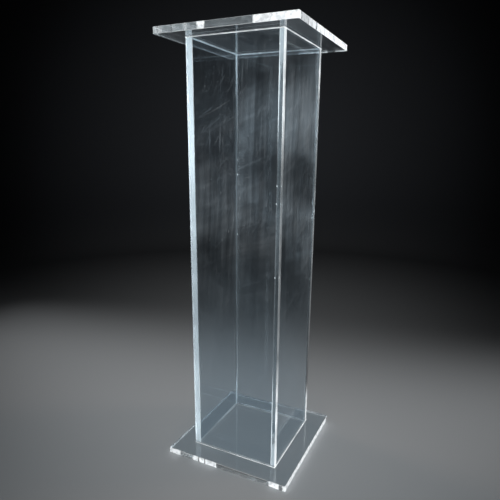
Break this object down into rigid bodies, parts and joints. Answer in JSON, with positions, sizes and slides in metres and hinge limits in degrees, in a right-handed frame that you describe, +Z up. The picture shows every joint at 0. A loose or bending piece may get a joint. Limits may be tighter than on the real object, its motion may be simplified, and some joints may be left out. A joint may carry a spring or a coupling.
{
  "type": "presentation lectern",
  "caption": "Clear acrylic pedestal lectern: a hollow square column of cemented sheets between a square base plate and a flat square top plate.",
  "frame": {"origin": "centre of the base plate's underside, on the floor", "axes": "+Z up the column; the front, a full-width sheet that the audience sees, faces -Y; +X is to the right of someone looking at the front"},
  "size_m": [0.362, 0.362, 1.1318],
  "materials": {
    "acrylic_sheet": "polished",
    "acrylic_cement": "gloss"
  },
  "bodies": {
    "root": {"base_plate": "acrylic_sheet", "top_plate": "acrylic_sheet", "front_panel": "acrylic_sheet", "back_panel": "acrylic_sheet", "left_panel": "acrylic_sheet", "right_panel": "acrylic_sheet", "front_left_seam": "acrylic_cement", "front_right_seam": "acrylic_cement", "back_left_seam": "acrylic_cement", "back_right_seam": "acrylic_cement", "foot_seam": "acrylic_cement", "head_seam": "acrylic_cement"}
  },
  "joints": []
}
